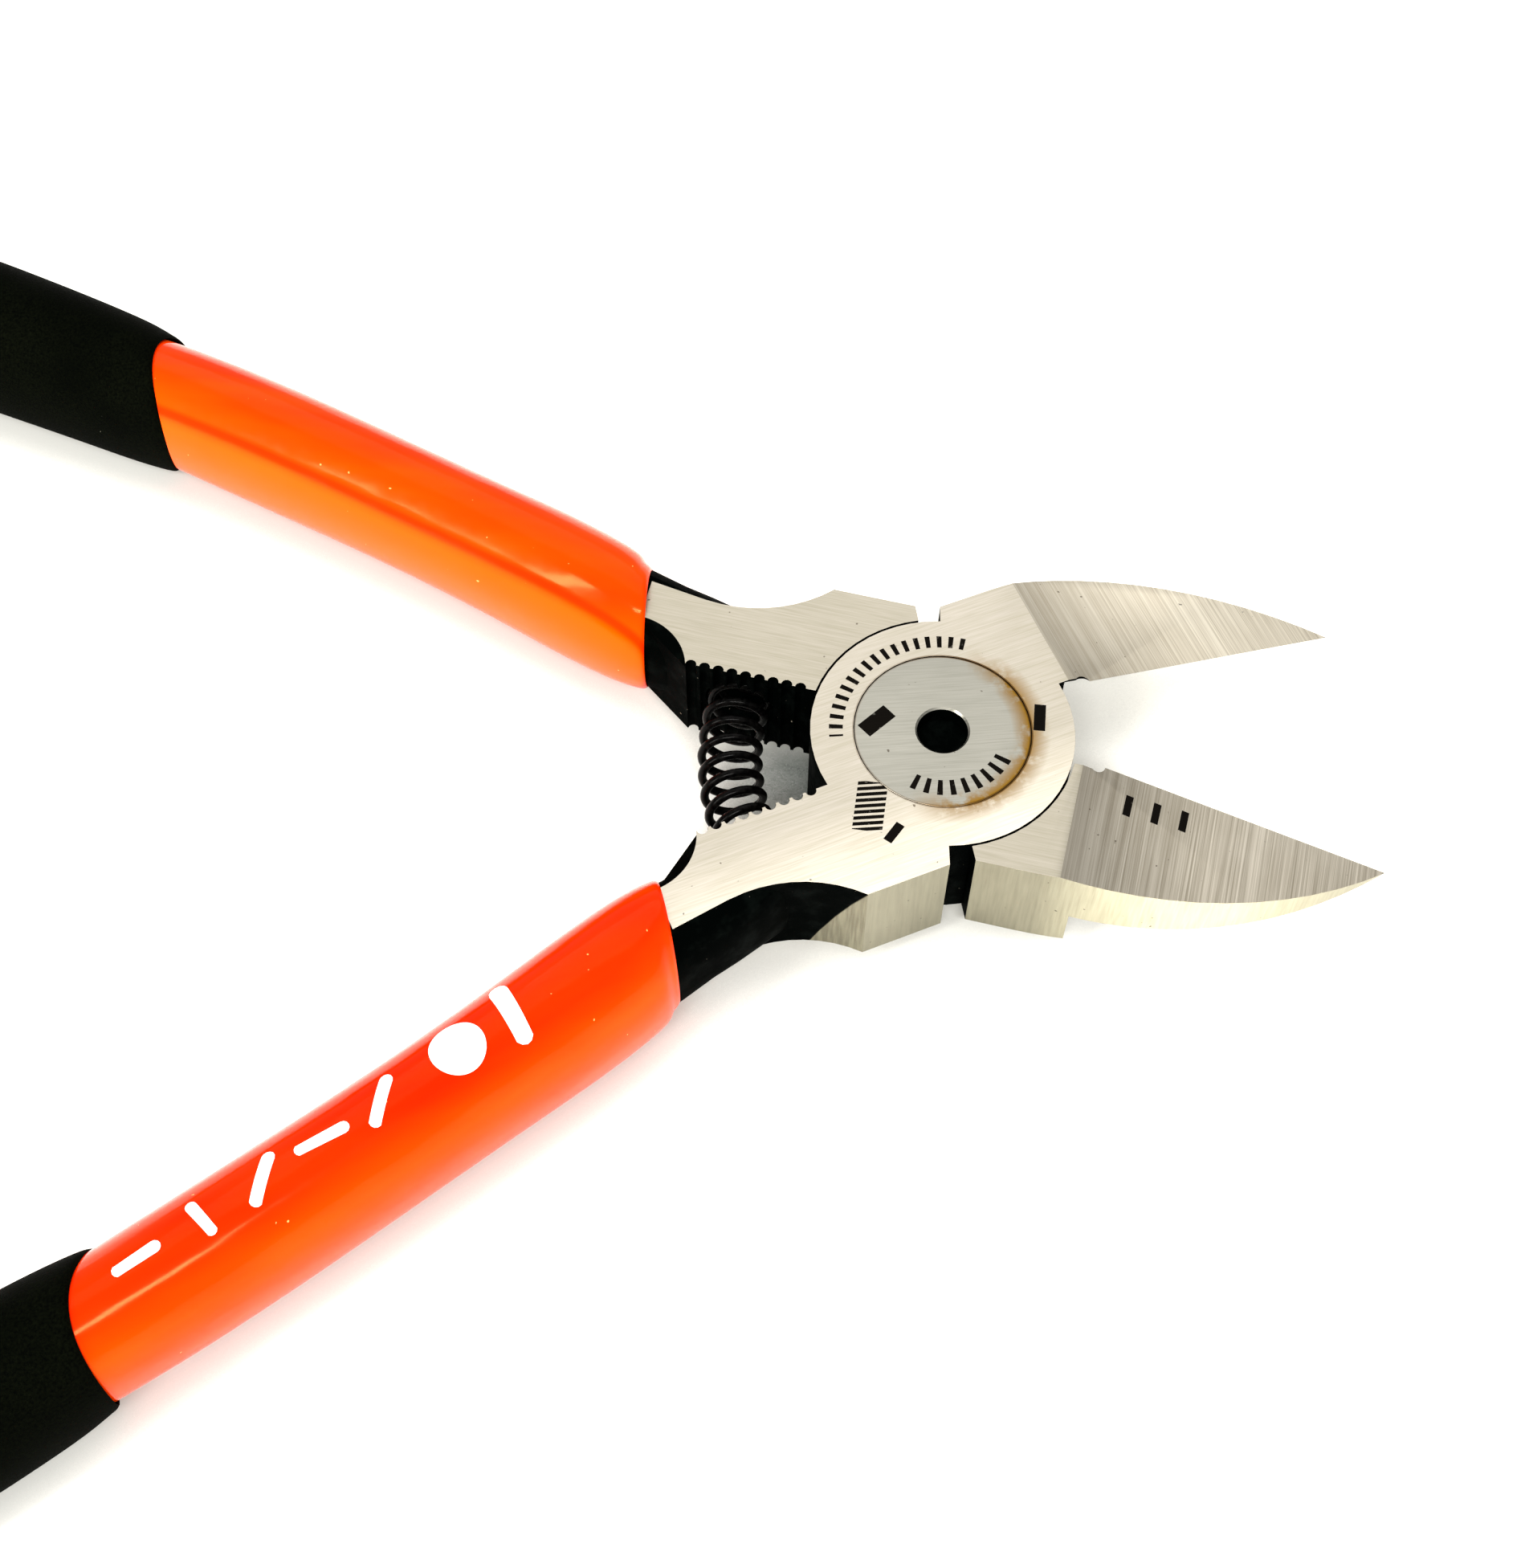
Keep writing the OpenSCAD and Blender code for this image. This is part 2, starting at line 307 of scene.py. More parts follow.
STAIN_COLOUR = (0.24, 0.125, 0.012, 1.0)
SEAM_COLOUR = (0.10, 0.05, 0.012, 1.0)
PIT_COLOUR = (0.06, 0.045, 0.03, 1.0)
INK_COLOUR = (0.006, 0.005, 0.004, 1.0)


def brushed(name, turn, along, dark, light, rough, marks=None, stain=0.0, shade=None):
    """Ground steel. along is the direction of the grinding lines in the closed position, marks
    draws what is etched, stain is the strength of the rust round the rivet, and shade paints
    one end of the surface brighter: painted light."""
    made, tree, shader, where = new_finish(name, turn)
    fine = {"x": (0.30, 9.0, 0.4), "y": (11.0, 0.08, 0.4), "z": (5.0, 5.0, 0.3)}[along]
    wide = {"x": (0.10, 3.2, 0.2), "y": (2.0, 0.04, 0.2), "z": (1.2, 1.2, 0.2)}[along]
    fine_lines = noise(tree, stretched(tree, where, *fine), 1.0, 2.0, 0.6)
    wide_lines = noise(tree, stretched(tree, where, *wide), 1.0, 2.0, 0.5)
    cloud = noise(tree, where, 0.16, 3.0)
    lines = total(tree, times(tree, fine_lines, 0.84), times(tree, wide_lines, 0.16))
    tone = ramp(tree, total(tree, lines, times(tree, cloud, 0.3)), 0.46, 0.84)
    colour = blend_colour(tree, tone, dark, light)
    # painted light: shade scales the colour brighter toward one end of the surface
    if shade:
        colour = shade(tree, where, colour)
    pits = ramp(tree, noise(tree, where, 2.6, 1.0), 0.77, 0.81)
    colour = blend_colour(tree, times(tree, pits, 0.75), colour, PIT_COLOUR)
    roughness = ramp(tree, fine_lines, 0.3, 0.7, rough - 0.06, rough + 0.08)
    if stain or marks:
        real = in_millimetres(tree)
        x, y, radius, angle = polar(tree, real)
    if stain:
        # rust has crept out of the rivet's seam, mostly toward the blades and the lower side
        smear = noise(tree, real, 0.55, 4.0, 0.65)
        off_seam = calc(tree, "ABSOLUTE", less(tree, radius, RIVET_R))
        near = ramp(tree, off_seam, 0.12, 1.25, 1.0, 0.0)
        rusty = ramp(tree, less(tree, x, times(tree, y, 0.45)), -0.5, 3.2)
        amount = times(tree, times(tree, near, rusty), ramp(tree, smear, 0.34, 0.50))
        amount = times(tree, amount, stain)
        colour = blend_colour(tree, amount, colour, STAIN_COLOUR)
        seam = within(tree, radius, RIVET_R, 0.11)
        seam = times(tree, seam, ramp(tree, x, -3.0, 2.0, 0.35, 0.9))
        colour = blend_colour(tree, seam, colour, SEAM_COLOUR)
        roughness = total(tree, roughness, times(tree, amount, 0.15))
    if marks:
        worn = ramp(tree, noise(tree, real, 1.6, 2.0), 0.22, 0.34, 0.6, 1.0)
        ink = times(tree, marks(tree, real, radius, angle), worn)
        colour = blend_colour(tree, ink, colour, INK_COLOUR)
        roughness = total(tree, roughness, times(tree, ink, 0.3))
    link(tree, colour, shader, "Base Color")
    link(tree, roughness, shader, "Roughness")
    shader.inputs["Metallic"].default_value = 1.0
    bump(tree, shader, fine_lines, 0.004, 0.5)
    return made


def disc_marks(tree, real, radius, angle):
    """A graduated scale, a hatched bar and two short bars etched on the lap disc."""
    scale = ticks(tree, radius, angle, r_mid=6.85, r_half=0.45, a_mid=128, a_half=60, count=19,
                  duty=0.42)
    row = calc(tree, "FRACT", calc(tree, "DIVIDE", apart(tree, real)[1], 0.42))
    low = bar(tree, real, x=-5.2, y=-5.3, turn=78, length=3.6, width=1.9)
    low = times(tree, low, within(tree, row, 0.5, 0.3))
    first = bar(tree, real, x=-3.9, y=-7.3, turn=50, length=1.5, width=0.6)
    second = bar(tree, real, x=6.35, y=0.5, turn=80, length=2.0, width=0.75)
    return larger(tree, scale, larger(tree, low, larger(tree, first, second)))


def rivet_marks(tree, real, radius, angle):
    """A plain bar and a short row of ticks etched on the rivet."""
    low = ticks(tree, radius, angle, r_mid=4.3, r_half=0.55, a_mid=-75, a_half=48, count=9,
                duty=0.42)
    return larger(tree, low, bar(tree, real, x=-4.15, y=1.0, turn=38, length=2.3, width=1.15))


def jaw_marks(tree, real, radius, angle):
    """Three short dashes etched on the lower blade."""
    start, pitch, fall = 11.2, 1.8, 0.396
    dashes = [bar(tree, real, x=start + i * pitch, y=-5.9 - i * fall, turn=70, length=1.5, width=0.5)
              for i in range(3)]
    return larger(tree, larger(tree, dashes[0], dashes[1]), dashes[2])


def oxide(name, turn):
    """Black oxide over forged steel, cloudy, with bare specks. At the start of the scoop the
    grinding wheel has cut through it, further back the lower down."""
    made, tree, shader, where = new_finish(name, turn)
    cloud = noise(tree, where, 0.7, 4.0, 0.62)
    tone = ramp(tree, cloud, 0.5, 0.8)
    colour = blend_colour(tree, tone, rgb(0.0002, 0.0005, 0.0004), rgb(0.0020, 0.0030, 0.0026))
    specks = ramp(tree, noise(tree, where, 3.6, 1.0), 0.79, 0.82)
    colour = blend_colour(tree, times(tree, specks, 0.7), colour, rgb(0.25, 0.22, 0.17))
    x, y, height = apart(tree, where)
    depth = less(tree, HEAD_TOP, height)
    ground_to = less(tree, -9.2, times(tree, depth, 0.36))
    outside = calc(tree, "GREATER_THAN", calc(tree, "ABSOLUTE", y), 6.0)
    ground = times(tree, ramp(tree, less(tree, x, ground_to), -0.04, 0.04), outside)
    ground = times(tree, ground, ramp(tree, x, -9.0, -8.6, 1.0, 0.0))
    lines = noise(tree, stretched(tree, where, 5.0, 5.0, 0.3), 1.0, 2.0)
    bare = blend_colour(tree, ramp(tree, lines, 0.35, 0.65),
                        rgb(0.17, 0.155, 0.105), rgb(0.26, 0.245, 0.17))
    link(tree, blend_colour(tree, ground, colour, bare), shader, "Base Color")
    dull = ramp(tree, cloud, 0.3, 0.7, 0.7, 0.5)
    link(tree, blend_colour(tree, ground, dull, rgb(0.42, 0.42, 0.42)), shader, "Roughness")
    link(tree, ground, shader, "Metallic")
    shader.inputs["Specular IOR Level"].default_value = 0.004
    bump(tree, shader, noise(tree, where, 2.2, 4.0, 0.6), 0.04, 0.4)
    return made


def spring_wire(name):
    """Black drawn wire with a slight shine."""
    made, tree, shader, where = new_finish(name)
    drawn = noise(tree, where, 3.0, 3.0)
    tone = ramp(tree, drawn, 0.4, 0.7)
    colour = blend_colour(tree, tone, rgb(0.0004, 0.0004, 0.0004), rgb(0.0028, 0.0026, 0.0024))
    link(tree, colour, shader, "Base Color")
    link(tree, ramp(tree, drawn, 0.35, 0.65, 0.16, 0.26), shader, "Roughness")
    shader.inputs["Specular IOR Level"].default_value = 0.04
    bump(tree, shader, drawn, 0.01, 0.4)
    return made


def across_handle(tree, where):
    """Distance outward from a handle's middle line, in millimetres. It is handle_y in nodes."""
    x, y, _ = apart(tree, where)
    u = calc(tree, "DIVIDE", less(tree, times(tree, x, -1.0), LINE_START), LINE_LENGTH)
    square = times(tree, u, u)
    hook = times(tree, times(tree, square, square), LINE_HOOK)
    fall = total(tree, times(tree, square, LINE_BEND), hook)
    middle = total(tree, times(tree, less(tree, u, fall), LINE_SPREAD), LINE_OFFSET)
    return less(tree, calc(tree, "ABSOLUTE", y), middle)


def vinyl(name, turn, red, far=0.0):
    """Thick glossy orange vinyl from a dip, a little cloudy, with a few bright specks. Light and
    shade are painted into its colour: a lower red value paints the flat top a deeper red as
    painted shade, far paints the outer edge more yellow as painted light, the inner side is
    painted lighter and the bottom darker."""
    made, tree, shader, where = new_finish(name, turn)
    cloud = noise(tree, stretched(tree, where, 0.05, 0.25, 0.25), 1.0, 3.0)
    height = apart(tree, where)[2]
    tone = ramp(tree, cloud, 0.35, 0.65)
    # painted shade and light: the flat top is painted a deeper red and the sides a lighter orange, for
    # how the light falls on them
    deep = blend_colour(tree, tone, rgb(0.95, red * 0.7, 0.0), rgb(0.97, red * 1.25, 0.0))
    warm = blend_colour(tree, tone, rgb(0.96, 0.050, 0.0), rgb(0.98, 0.066, 0.0))
    colour = blend_colour(tree, ramp(tree, height, 10.7, 8.4), deep, warm)
    # painted shade: darker toward the bottom, near the floor
    painted_low_shade = ramp(tree, height, 2.6, 0.6, 0.0, 0.6)
    colour = blend_colour(tree, painted_low_shade, colour, rgb(0.70, 0.045, 0.0))
    # a dark red line along the inner corner of the flat top
    off = across_handle(tree, where)
    off_line = calc(tree, "ABSOLUTE", total(tree, off, INNER_CORNER))
    line = ramp(tree, off_line, 0.08, 0.32, 0.75, 0.0)
    colour = blend_colour(tree, line, colour, rgb(0.80, 0.016, 0.0))
    # painted light: the inner side wall beyond that corner is painted a lighter orange
    painted_side_light = ramp(tree, off, -INNER_CORNER - 0.15, -INNER_CORNER - 0.5, 0.0, 0.55)
    colour = blend_colour(tree, painted_side_light, colour, rgb(0.98, 0.12, 0.0))
    # painted light: the outer edge is painted more yellow
    if far:
        edge = ramp(tree, off, 1.6, 4.4, 0.0, far)
        colour = blend_colour(tree, edge, colour, rgb(1.0, 0.15, 0.0))
    specks = ramp(tree, noise(tree, where, 2.3, 1.0), 0.80, 0.82)
    colour = blend_colour(tree, times(tree, specks, 0.7), colour, rgb(1.0, 0.5, 0.15))
    link(tree, colour, shader, "Base Color")
    shine = ramp(tree, noise(tree, where, 0.9, 3.0), 0.3, 0.7, 0.10, 0.15)
    link(tree, shine, shader, "Roughness")
    shader.inputs["Specular IOR Level"].default_value = 0.11
    shader.inputs["Specular Tint"].default_value = rgb(1.0, 0.66, 0.22)
    waves = noise(tree, stretched(tree, where, 0.12, 0.4, 0.4), 1.0, 2.0)
    bump(tree, shader, waves, 0.12, 0.5)
    return made


def soft_black(name):
    """Soft-touch rubber with a fine moulded grain."""
    made, tree, shader, where = new_finish(name)
    grain = noise(tree, where, 5.5, 3.0, 0.7)
    cloud = noise(tree, where, 0.2, 2.0)
    tone = times(tree, ramp(tree, grain, 0.35, 0.72), ramp(tree, cloud, 0.3, 0.7, 0.45, 1.0))
    colour = blend_colour(tree, tone, rgb(0.0002, 0.0004, 0.0002), rgb(0.0026, 0.0034, 0.0014))
    specks = ramp(tree, noise(tree, where, 3.7, 1.0), 0.84, 0.86)
    colour = blend_colour(tree, times(tree, specks, 0.6), colour, rgb(0.4, 0.38, 0.3))
    link(tree, colour, shader, "Base Color")
    link(tree, ramp(tree, grain, 0.3, 0.7, 0.72, 0.88), shader, "Roughness")
    shader.inputs["Specular IOR Level"].default_value = 0.01
    bump(tree, shader, grain, 0.06, 0.7)
    return made


def print_white(name):
    """White ink, thin in places, so that the vinyl tints it."""
    made, tree, shader, where = new_finish(name)
    worn = noise(tree, where, 4.0, 3.0)
    thin = ramp(tree, worn, 0.62, 0.75)
    colour = blend_colour(tree, thin, rgb(0.93, 0.93, 0.92), rgb(0.85, 0.62, 0.5))
    link(tree, colour, shader, "Base Color")
    link(tree, ramp(tree, worn, 0.3, 0.7, 0.35, 0.5), shader, "Roughness")
    bump(tree, shader, worn, 0.01, 0.4)
    return made


def pale_floor(name):
    """White board that glows a little, so that shadows stay faint and warm, but not in the deep
    gap between the shanks. Painted shade: its colour and glow are darkened with the occlusion
    round the object, fully only near that gap, where a dark blue-grey is painted."""
    made, tree, shader, where = new_finish(name)
    fibre = noise(tree, where, 0.5, 3.0)
    board = blend_colour(tree, fibre, rgb(0.90, 0.90, 0.89), rgb(0.93, 0.93, 0.92))
    # painted shade: the floor's colour and glow drop with the occlusion, down to a dark blue-grey
    # within about 6.5 mm of the gap's middle and only partly elsewhere
    open_sky = put(tree, "AmbientOcclusion", {"Distance": 10 * MM}, samples=8).outputs["AO"]
    from_gap = put(tree, "VectorMath", {0: where, 1: PAINTED_SHADOW_MIDDLE}, operation="DISTANCE")
    faint = ramp(tree, from_gap.outputs["Value"], 3.0, 6.5, 0.0, 0.43)
    painted_shade_factor = larger(tree, ramp(tree, open_sky, 0.25, 0.72), faint)
    link(tree, blend_colour(tree, painted_shade_factor, rgb(0.045, 0.06, 0.055), board), shader, "Base Color")
    link(tree, scaled(tree, (1.0, 0.955, 0.82), painted_shade_factor), shader, "Emission Color")
    shader.inputs["Roughness"].default_value = 0.8
    shader.inputs["Specular IOR Level"].default_value = 0.1
    shader.inputs["Emission Strength"].default_value = 0.4
    return made


def painted_light_toward_tip(tree, where, colour):
    """Painted light: the blades' colour is scaled darker where the cross grinding starts and brighter
    toward the tips, for how the light falls on them.
    """
    x = apart(tree, where)[0]
    return scaled(tree, colour, ramp(tree, x, 9.5, 18.5, 0.54, 1.24))


def painted_light_toward_shank(tree, where, colour):
    """Painted light: the shank's colour is scaled brighter than the lap disc's."""
    y = apart(tree, where)[1]
    return scaled(tree, colour, ramp(tree, y, -2.5, -8.0, 1.0, 1.55))


def painted_light_along_wall(tree, where, colour):
    """Painted reflection and shade: the outer wall's colour is scaled dark beside the joint, bright
    along the blade and dark at the tip.
    """
    x = apart(tree, where)[0]
    rise, fall = ramp(tree, x, 8.0, 15.0, 1.0, 2.5), ramp(tree, x, 20.0, 27.0, 1.0, 0.62)
    return scaled(tree, colour, times(tree, rise, fall))


# the darkest and lightest tone of each ground surface; the back half's tones are set darker than the
# front's as painted shade, both halves being the same ground steel
TOPS = {
    "front": (rgb(0.375, 0.345, 0.275), rgb(0.50, 0.46, 0.40)),
    "back": (rgb(0.325, 0.30, 0.235), rgb(0.435, 0.40, 0.335)),
    "rivet": (rgb(0.26, 0.255, 0.22), rgb(0.35, 0.34, 0.30)),
}
BLADES = {
    "front": (rgb(0.42, 0.37, 0.285), rgb(0.70, 0.65, 0.545)),
    "back": (rgb(0.35, 0.31, 0.24), rgb(0.60, 0.555, 0.47)),
}
WALLS = (rgb(0.20, 0.185, 0.13), rgb(0.28, 0.265, 0.195))
TOP_ROUGH, BLADE_ROUGH, WALL_ROUGH = 0.34, 0.36, 0.42

# in the order of the slots that steel_half fills: top, blade, wall, black
finishes = {
    "front": [
        brushed("front_ground", HALF_OPEN, "x", *TOPS["front"], TOP_ROUGH,
                marks=disc_marks, stain=0.8, shade=painted_light_toward_shank),
        brushed("front_cross_ground", HALF_OPEN, "y", *BLADES["front"], BLADE_ROUGH, shade=painted_light_toward_tip),
        brushed("front_side_ground", HALF_OPEN, "z", *WALLS, WALL_ROUGH, shade=painted_light_along_wall),
        oxide("front_black_oxide", HALF_OPEN),
    ],
    "back": [
        brushed("back_ground", -HALF_OPEN, "x", *TOPS["back"], TOP_ROUGH),
        brushed("back_cross_ground", -HALF_OPEN, "y", *BLADES["back"], BLADE_ROUGH,
                marks=jaw_marks, shade=painted_light_toward_tip),
        brushed("back_side_ground", -HALF_OPEN, "z", *WALLS, WALL_ROUGH, shade=painted_light_along_wall),
        oxide("back_black_oxide", -HALF_OPEN),
    ],
    "rivet": [
        brushed("rivet_ground", 0.0, "x", *TOPS["rivet"], TOP_ROUGH, marks=rivet_marks, stain=1.0),
        oxide("rivet_bore", 0.0),
    ],
}


# ---------- steel ----------


def steel_half(node, name, turn, jaw_side):
    """The forging from its CAD node: planes made whole, edges eased, each surface finished."""
    take(frame["nodes"][node])
    bpy.ops.object.duplicate()
    piece = bpy.context.active_object
    piece.name = piece.data.name = name
    del piece["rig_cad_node"]
    bpy.ops.object.parent_clear(type="CLEAR_KEEP_TRANSFORM")
    edit(piece)
    bpy.ops.mesh.select_all(action="SELECT")
    bpy.ops.mesh.remove_doubles(threshold=1e-6)
    bpy.ops.mesh.dissolve_limited(angle_limit=math.radians(0.4))
    leave()
    piece.data.materials.clear()
    for finish in finishes[name.split("_")[0]]:
        piece.data.materials.append(finish)
    back = Matrix.Rotation(-turn, 3, "Z")
    for face in piece.data.polygons:
        at, normal = back @ face.center / MM, back @ face.normal
        at.y, normal.y = at.y * jaw_side, normal.y * jaw_side
        on_skin = at.z > HEAD_TOP - SKIN or at.z < HEAD_BOTTOM + SKIN
        flat = abs(normal.z) > 0.985 and on_skin
        blade = at.x > 9 and 0.3 < abs(normal.z) and not flat
        shoulder = at.xy.length < SHOULDER_REACH and abs(normal.x) > 0.8
        wall = abs(normal.z) < 0.2 and not shoulder and at.xy.length > WALL_START_R
        jaw_wall = wall and at.x > 0 and normal.y > 0.05 and (at.y > 2 or at.x > 12)
        shank_wall = wall and at.y < -9.0 and normal.y < -0.99
        face.material_index = 0 if flat else 1 if blade else 2 if jaw_wall or shank_wall else 3
    # every corner is eased but the cutting edge
    edit(piece)
    bpy.ops.mesh.select_mode(type="EDGE")
    mesh = bmesh.from_edit_mesh(piece.data)
    for edge in mesh.edges:
        middle = back @ ((edge.verts[0].co + edge.verts[1].co) / 2) / MM
        cutting = middle.x > 10.2 and abs(middle.y) < 0.12
        edge.select_set(edge.calc_face_angle(0) > math.radians(28) and not cutting)
    bmesh.update_edit_mesh(piece.data)
    bpy.ops.mesh.bevel(offset=EASED_EDGE * MM, segments=2, affect="EDGES", clamp_overlap=True,
                       miter_outer="ARC")
    leave()
    take(piece)
    bpy.ops.object.shade_smooth_by_angle(angle=math.radians(50))
    modify(piece, "WEIGHTED_NORMAL", mode="FACE_AREA", weight=100, keep_sharp=True)
    return piece


def rivet():
    """A flush rivet, countersunk from both faces, with a blind centre hole."""
    height, middle = HEAD_TOP - HEAD_BOTTOM, (HEAD_TOP + HEAD_BOTTOM) / 2
    bpy.ops.mesh.primitive_cylinder_add(vertices=128, radius=RIVET_R * MM, depth=height * MM,
                                        location=(0, 0, middle * MM))
    piece = bpy.context.active_object
    piece.name = piece.data.name = "flush_rivet"
    settle(piece)
    edit(piece)
    # the countersunk waist between the two heads
    for z in (HEAD_BOTTOM + RIVET_CONE_TOP, HEAD_TOP - RIVET_CONE_TOP,
              HEAD_BOTTOM + RIVET_CONE_END, HEAD_TOP - RIVET_CONE_END):
        bpy.ops.mesh.select_all(action="SELECT")
        bpy.ops.mesh.bisect(plane_co=(0, 0, z * MM), plane_no=(0, 0, 1))
    waist_half = height / 2 - RIVET_CONE_END + 0.1
    pick_points(piece, lambda p: abs(p.z / MM - middle) < waist_half)
    bpy.ops.transform.resize(value=(RIVET_WAIST_R / RIVET_R, RIVET_WAIST_R / RIVET_R, 1))
    # the centre hole, with an eased mouth and a cone at its floor
    pick_faces(piece, lambda at, n: n.z > 0.9)
    bpy.ops.mesh.inset(thickness=(RIVET_R - HOLE_R - HOLE_EASE) * MM)
    bpy.ops.mesh.inset(thickness=HOLE_EASE * MM)
    bpy.ops.transform.translate(value=(0, 0, -HOLE_EASE * MM))
    bpy.ops.mesh.extrude_region_move(TRANSFORM_OT_translate={"value": (0, 0, -HOLE_DEPTH * MM)})
    bpy.ops.mesh.inset(thickness=0.75 * HOLE_R * MM)
    bpy.ops.transform.translate(value=(0, 0, -HOLE_CONE * MM))
    # eased rims on both heads
    bpy.ops.mesh.select_mode(type="EDGE")
    mesh = bmesh.from_edit_mesh(piece.data)
    for edge in mesh.edges:
        a, b = edge.verts[0].co, edge.verts[1].co
        rim = min(a.xy.length, b.xy.length) > (RIVET_R - 0.05) * MM
        on_head = a.z > (HEAD_TOP - 0.1) * MM or a.z < (HEAD_BOTTOM + 0.1) * MM
        edge.select_set(rim and abs(a.z - b.z) < 1e-6 and on_head)
    bmesh.update_edit_mesh(piece.data)
    bpy.ops.mesh.bevel(offset=RIVET_EASED_RIM * MM, segments=3, affect="EDGES")
    leave()
    clean(piece)
    for finish in finishes["rivet"]:
        piece.data.materials.append(finish)
    for face in piece.data.polygons:
        at = face.center / MM
        inside = at.xy.length < HOLE_R + 0.01 and HEAD_TOP / 2 < at.z < HEAD_TOP - 0.05
        face.material_index = 1 if inside else 0
    take(piece)
    bpy.ops.object.shade_smooth_by_angle(angle=math.radians(30))
    return piece


def return_spring():
    """Round wire wound on a bowed line between the two pockets, the wire's two ends capped."""
    mouth_x = -SPRING_X * math.cos(HALF_OPEN) + SLOT_HALF * math.sin(HALF_OPEN)
    mouth_y = SPRING_X * math.sin(HALF_OPEN) + SLOT_HALF * math.cos(HALF_OPEN)
    bow_r = mouth_y / math.sin(HALF_OPEN)
    seat = POCKET_DEPTH - WIRE_R - SEAT_GAP
    bow_len = bow_r * HALF_OPEN
    coil_len = 2 * (bow_len + seat)
    # one section of the wire, wound into a straight coil
    bpy.ops.mesh.primitive_circle_add(vertices=WIRE_SIDES, radius=WIRE_R * MM, fill_type="NGON",
                                      location=(SPRING_R * MM, 0, 0), rotation=(math.pi / 2, 0, 0))
    piece = bpy.context.active_object
    piece.name = piece.data.name = "return_coil"
    settle(piece)
    modify(piece, "SCREW", angle=math.tau, screw_offset=coil_len / SPRING_TURNS * MM,
           iterations=SPRING_TURNS, steps=STEPS_PER_TURN, render_steps=STEPS_PER_TURN,
           use_merge_vertices=True, merge_threshold=1e-6, axis="Z")
    settle(piece)
    edit(piece)
    bpy.ops.mesh.select_all(action="SELECT")
    bpy.ops.mesh.remove_doubles(threshold=1e-6)
    bpy.ops.mesh.select_all(action="DESELECT")
    bpy.ops.mesh.select_mode(type="EDGE")
    bpy.ops.mesh.select_non_manifold()
    bpy.ops.mesh.edge_face_add()
    leave()
    # the bowed line, as a path that the coil follows
    bpy.ops.curve.primitive_nurbs_path_add()
    path = bpy.context.active_object
    path.data.splines.clear()
    line = path.data.splines.new("POLY")
    line.points.add(BOW_STEPS)
    for i in range(BOW_STEPS + 1):
        s = (i / BOW_STEPS - 0.5) * coil_len
        turned = min(abs(s), bow_len) / bow_r
        rest = max(abs(s) - bow_len, 0)
        x = mouth_x + bow_r * (math.cos(HALF_OPEN) - math.cos(turned)) + rest * math.sin(turned)
        y = math.copysign(bow_r * math.sin(turned) + rest * math.cos(turned), s)
        line.points[i].co = (x * MM, y * MM, 0, 1)
    take(piece)
    follow = piece.modifiers.new("Bow", "CURVE")
    follow.object = path
    follow.deform_axis = "POS_Z"
    bpy.ops.object.modifier_apply(modifier=follow.name)
    bpy.data.objects.remove(path)
    piece.location = (0, 0, MID_Z * MM)
    settle(piece)
    clean(piece)
    take(piece)
    bpy.ops.object.shade_smooth_by_angle(angle=math.radians(50))
    return piece


# ---------- handles ----------


def handle_y(x):
    """Middle line of the upper handle, x behind the pivot."""
    if x < LINE_START:
        return LINE_OFFSET - 0.1 * (LINE_START - x)
    u = (x - LINE_START) / LINE_LENGTH
    return LINE_OFFSET + LINE_SPREAD * (u - LINE_BEND * u * u - LINE_HOOK * u**4)


def loft(name, outer, inner, side, square):
    """A hollow skin along a handle. outer and inner are rows of distance, half width and half
    height. It starts as a short squared cylinder at the mouth, and each section is one extrude."""
    x, a, b = outer[0]
    start_length, drawn_length = 0.02, 0.05
    bpy.ops.mesh.primitive_cylinder_add(vertices=LOFT_POINTS, radius=1.0, depth=start_length,
                                        rotation=(0, math.pi / 2, 0))
    piece = bpy.context.active_object
    piece.name = piece.data.name = name
    settle(piece)
    modify(piece, "CAST", cast_type="CUBOID", factor=square, use_x=False, use_radius_as_size=True,
           radius=0)
    edit(piece)
    bpy.ops.mesh.select_all(action="SELECT")
    mesh = bmesh.from_edit_mesh(piece.data)
    wide = max(p.co.y for p in mesh.verts)
    mouth = -(x - drawn_length / 2) * MM
    bpy.ops.transform.resize(value=(drawn_length * MM / start_length, a * MM / wide, b * MM / wide))
    bpy.ops.transform.translate(value=(mouth, side * handle_y(x) * MM, MID_Z * MM))

    def run(rows, start):
        """Extrudes the selected cap through rows."""
        x0, a0, b0 = start
        for x1, a1, b1 in rows:
            step = (-(x1 - x0) * MM, side * (handle_y(x1) - handle_y(x0)) * MM, 0)
            bpy.ops.mesh.extrude_region_move(TRANSFORM_OT_translate={"value": step})
            centre = (-x1 * MM, side * handle_y(x1) * MM, MID_Z * MM)
            bpy.ops.transform.resize(value=(1, a1 / a0, b1 / b0), center_override=centre)
            x0, a0, b0 = x1, a1, b1

    pick_faces(piece, lambda at, n: n.x < -0.9)
    run(outer[1:], outer[0])
    bpy.ops.mesh.inset(thickness=CAP_INSET * outer[-1][1] * MM)
    pick_faces(piece, lambda at, n: n.x > 0.9 and at.x > mouth - 0.01 * MM)
    run(inner, (x, a, b))
    leave()
    return piece


def lean_mouth(piece, x, degrees, side):
    """Turns the first rings of a skin about the mouth's middle."""
    edit(piece)
    pick_points(piece, lambda p: p.x / MM > -x - MOUTH_DEPTH)
    bpy.ops.transform.rotate(value=-side * math.radians(degrees), orient_axis="Z",
                             center_override=(-x * MM, side * handle_y(x) * MM, MID_Z * MM))
    leave()


